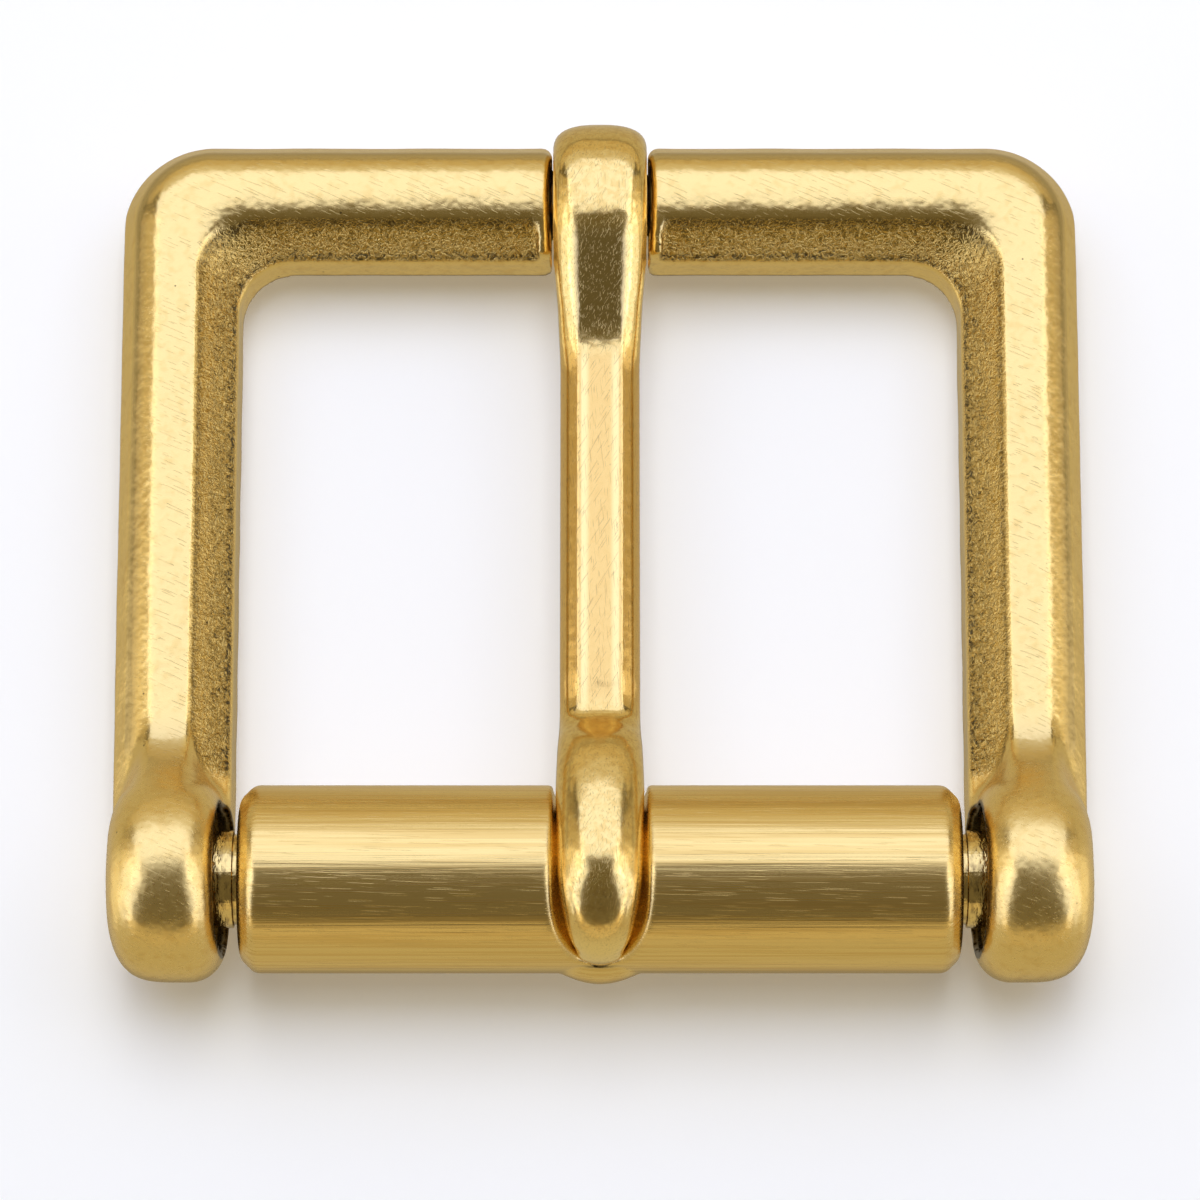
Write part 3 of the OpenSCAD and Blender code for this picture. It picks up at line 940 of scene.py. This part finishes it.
def aged_and_shaded(f, colour, shade_and_patina):
    """Dulls the gold in shallow hollows and darkens it in deep ones: partly the patina of old brass, partly
    painted shade where the hollows would lie in shadow.
    """
    return f.blend(shade_and_patina.ramp(0.25, 0.6), f.blend(shade_and_patina.ramp(0.0, 0.3), colour, dulled_and_shaded_gold), patina_and_shade_brown)


# %% Cast brass: satin faces, rough border
def cast_brass():
    f = Finish("cast_brass")
    rough_cast = f.mark("rough_cast")
    peel = f.noise(f.mm, 1.7, 1.0, 0.6)
    grain = f.noise(f.mm, 2.9, 1.8, 0.65, 1.6)
    marks = scratches(f, 24, 1.4, 0.08, 0.69)
    holes = pits(f, 1.2, 0.09)
    smooth = 1 - rough_cast
    f.relief((peel - 0.5) * smooth * 0.026 + (grain - 0.5) * rough_cast * 0.3 - marks * smooth * 0.004)
    border = f.mark("border")
    # Grain, pits and scratches darken the cast skin, and the brink mark adds a painted dark line of shade
    # along the border's edges.
    dirt_and_edge_shade = (0.48 - grain) * rough_cast * 4.5 + f.mark("brink_shade") * 0.5 + holes * 0.7 + marks * 0.18
    colour = f.blend(peel.ramp(0.45, 0.8, 0, 0.7), gold, deep_gold)
    colour = f.blend(border, aged_and_shaded(f, colour, f.mark("shade_and_patina")), cast_skin)
    colour = f.blend(dirt_and_edge_shade.ramp(0, 1), colour, patina_and_shade_brown)
    roughness = 0.17 + grain * 0.08 + rough_cast * 0.08 + f.mark("lug") * 0.07
    f.set(Base_Color=colour, Metallic=1.0, Roughness=roughness)
    return f.material


# %% Turned brass: fine streaks along the roller
def turned_brass():
    f = Finish("turned_brass")
    streaks = f.noise(f.stretched(0.045, 3.4, 3.4), 1.0, 2.5, 0.65)
    marks = scratches(f, 2, 2.6, 0.06, 0.69)
    f.relief((streaks - 0.5) * (1 - f.mark("edge")) * 0.024 - marks * 0.003)
    colour = f.blend(streaks.ramp(0.4, 0.66), gold, deep_gold)
    f.set(Base_Color=aged_and_shaded(f, colour, f.mark("shade_and_patina")), Metallic=1.0, Roughness=0.21 + streaks * 0.12)
    return f.material


# %% Polished brass: the tongue
def polished_brass():
    f = Finish("polished_brass")
    peel = f.noise(f.mm, 1.1, 1.0, 0.55)
    mottle = f.noise(f.mm, 2.6, 1.5, 0.6, 0.6)
    marks = scratches(f, 85, 1.0, 0.06, 0.68) + scratches(f, 121, 1.1, 0.06, 0.69)
    f.relief((peel - 0.5) * 0.02 + (mottle - 0.5) * 0.003 - marks * 0.002)
    across = f.node("ShaderNodeSeparateXYZ", {}, [f.mm])[0].math("ABSOLUTE")
    shaft = f.mark("shaft")
    # Painted highlight: a bright band either side of the middle of the shaft's face.
    edge = across.ramp(0.5, 0.85) * across.ramp(1.12, 1.0) * shaft
    # Painted shade: a dark line along the edge between two of the shaft's flats, near each side.
    crease_shade = across.ramp(1.74, 1.82) * across.ramp(1.92, 1.84) * shaft
    nicks = pits(f, 0.7, 0.08)
    colour = f.blend(mottle.ramp(0.35, 0.7), gold, deep_gold)
    # Painted shade: the shaft's face is dimmed to a darker gold.
    colour = f.blend(shaft * 0.8, colour, dimmed_shaft_gold)
    # Painted highlights: the bands on the shaft, and the whole tip, turn to a brighter gold.
    colour = f.blend(edge * 0.8 + f.mark("tip"), colour, painted_highlight_gold)
    colour = f.blend(marks * 0.25 + crease_shade * 0.35 + nicks * 0.25, colour, patina_and_shade_brown)
    roughness = 0.10 + mottle * 0.07 + f.mark("hump") * 0.05
    f.set(Base_Color=aged_and_shaded(f, colour, f.mark("shade_and_patina")), Metallic=1.0, Roughness=roughness)
    return f.material


# %% Pin brass: a darker turned rod
def pin_brass():
    f = Finish("pin_brass")
    spots = f.noise(f.stretched(3.5, 1.6, 1.6), 1.0, 2.0, 0.6)
    f.relief((spots - 0.5) * 0.04)
    colour = f.blend(spots.ramp(0.35, 0.8), gold, tarnish)
    f.set(Base_Color=colour, Metallic=1.0, Roughness=0.12 + spots * 0.12)
    return f.material


for piece, finish in ((cast_frame, cast_brass), (lug_pin, pin_brass), (turned_roller, turned_brass),
                      (bent_tongue, polished_brass)):
    piece.data.materials.append(finish())

# %% [markdown]
# ## Floor, light and camera
# Polished metal shows the room more than itself, so lighting it means building what it mirrors. The buckle
# lies on a white sheet in a light tent: a large cool softbox stands behind and over it, dimmer warm
# walls stand round it, and the front above the lens is dark. That dark gap draws the olive band along the
# roller and on the hump. Each light here is one wall of the tent. The front ones are only mirrored and put no
# light on the floor, so that they don't wash out the shadow in front of the roller.

# %% Floor
scene = bpy.context.scene
scene.view_settings.view_transform = "Standard"


def flat_sheet(name, size):
    """A square sheet on the ground, its size in metres."""
    mesh = bpy.data.meshes.new(name)
    s = size / 2
    mesh.from_pydata([(-s, -s, 0), (s, -s, 0), (s, s, 0), (-s, s, 0)], [], [(0, 1, 2, 3)])
    return add_object(name, mesh)


floor = flat_sheet("floor", 6.0)
floor_paint = bpy.data.materials.new("white_floor")
floor_paint.use_nodes = True
paint = floor_paint.node_tree.nodes["Principled BSDF"].inputs
paint["Base Color"].default_value = (0.88, 0.87, 0.76, 1)
paint["Roughness"].default_value = 0.9
paint["Emission Color"].default_value = (1, 0.98, 0.95, 1)
paint["Emission Strength"].default_value = 0.15
floor.data.materials.append(floor_paint)
floor.visible_glossy = False


# %% The walls of the light tent
def softbox(name, elevation, azimuth, distance, height, width, radiance, tint, on_floor=True, roll=0):
    """A soft light. Elevation 0 is the front horizon, 90 overhead and 180 the back. Azimuth leans it
    sideways. Height and width are the angles that it fills, seen from the buckle. Roll turns it about its
    own axis."""
    light = bpy.data.lights.new(name, "AREA")
    light.shape = "RECTANGLE"
    light.size = 2 * distance * math.tan(math.radians(width / 2))
    light.size_y = 2 * distance * math.tan(math.radians(height / 2))
    light.energy = radiance * math.pi * light.size * light.size_y
    light.color = tint
    lamp = add_object(name, light)
    e, a = math.radians(elevation), math.radians(azimuth)
    way = Vector((math.sin(a), -math.cos(e) * math.cos(a), math.sin(e) * math.cos(a)))
    lamp.location = way * distance
    lamp.rotation_euler = way.to_track_quat("Z", "Y").to_euler()
    lamp.rotation_euler.rotate_axis("Z", math.radians(roll))
    lamp.visible_camera = False
    lamp.visible_diffuse = on_floor
    return lamp


cool = (0.87, 0.99, 1.62)
plain = (0.95, 0.93, 0.97)
warm = (1.0, 0.85, 0.60)
daylight = (0.92, 0.95, 1.06)
softbox("rear_softbox", 117.5, 0, 0.8, 46, 82, 1.25, cool)
softbox("back_wall_low", 149.25, 0, 0.88, 17.5, 84, 0.60, plain)
softbox("back_wall", 168, 0, 0.9, 20, 110, 0.48, warm)
softbox("front_wall", 10, 0, 0.9, 20, 110, 0.5, warm, on_floor=False)
for side in (-1, 1):
    softbox("side_wall_high", 119, side * 58, 0.95, 50, 26, 0.40, warm)
    softbox("side_wall_low", 90, side * 80, 0.95, 100, 30, 0.50, plain)
    softbox("front_side_softbox", 60, side * 47, 0.8, 62, 19, 1.15, cool, on_floor=False,
            roll=-20 * side)
    softbox("front_side_outer", 60, side * 68.5, 0.8, 62, 24, 0.75, cool, on_floor=False,
            roll=-20 * side)
    softbox("front_side_low", 24, side * 59, 0.9, 9, 43, 0.5, warm, on_floor=False)

# %% A top light that the metal doesn't mirror, for the shadow close round the buckle
top_light = softbox("top_light", 106, 0, 1.0, 44, 22, 4.2, daylight)
top_light.visible_glossy = False

# %% The room's dim light, and the sheet below as the metal mirrors it
world = bpy.data.worlds.new("studio")
scene.world = world
world.use_nodes = True
sheet_tone = (0.54, 0.49, 0.38, 1)
room_tone = (0.15, 0.13, 0.09, 1)
under_tone = (0.27, 0.24, 0.18, 1)
sky = Nodes(world.node_tree)
rise = sky.node("ShaderNodeSeparateXYZ", {}, [sky.node("ShaderNodeTexCoord")[0]])[2]
level = sky.node("ShaderNodeMapRange", {}, {"Value": rise, "From Min": -0.06, "From Max": 0.02})[0]
below = sky.node("ShaderNodeMapRange", {}, {"Value": rise, "From Min": -0.98, "From Max": -0.88})[0]
tone = sky.blend(below, under_tone, sky.blend(level, sheet_tone, room_tone))
sky.feed(sky.tree.nodes["Background"].inputs["Color"], tone)

# %% [markdown]
# ## The camera
# The photo looks down at about 75 degrees. The angle and the distance were found by trial: with this pair the
# side bars have one width along their whole length, as cast bars do.

# %% The camera
camera_data = bpy.data.cameras.new("camera")
camera = add_object("camera", camera_data)
camera_data.lens = 175.2
camera_data.sensor_width = 36
camera_data.clip_start = 0.01
camera.location = (0, -0.0880, 0.3219)
aim = Vector((0, -0.00338, 0.0060))
camera.rotation_euler = (camera.location - aim).to_track_quat("Z", "Y").to_euler()
scene.camera = camera
print(f"camera {(camera.location - aim).length * 1000:.0f} mm from the buckle")
